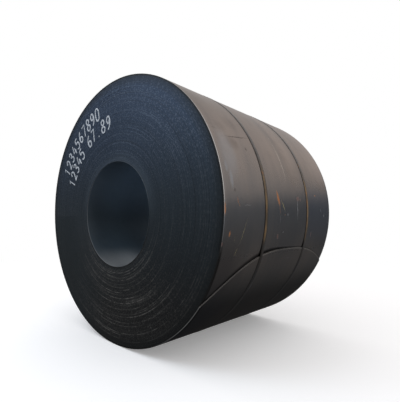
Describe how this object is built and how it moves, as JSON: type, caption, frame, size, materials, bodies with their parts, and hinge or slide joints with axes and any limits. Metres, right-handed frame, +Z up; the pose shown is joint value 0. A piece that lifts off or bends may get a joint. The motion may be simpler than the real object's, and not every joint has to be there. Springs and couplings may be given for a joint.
{
  "type": "steel coil",
  "caption": "Coil of hot rolled steel strip lying on its side, with an open bore, a rounded tail on the last turn and steel bands round it.",
  "frame": {"origin": "on the bore's axis, at the middle of the strip's width", "axes": "+Y along the bore towards the rear end, +Z up as the coil lies, and +X to the right of someone who faces the front end"},
  "size_m": [1.9347, 1.5, 1.9383],
  "materials": {
    "mill_scale": "satin",
    "band": "matte",
    "seal": "satin",
    "paint": "matte"
  },
  "bodies": {
    "root": {"coil": "mill_scale", "front_band": "band", "rear_band": "band", "front_seal": "seal", "rear_seal": "seal"}
  },
  "joints": []
}
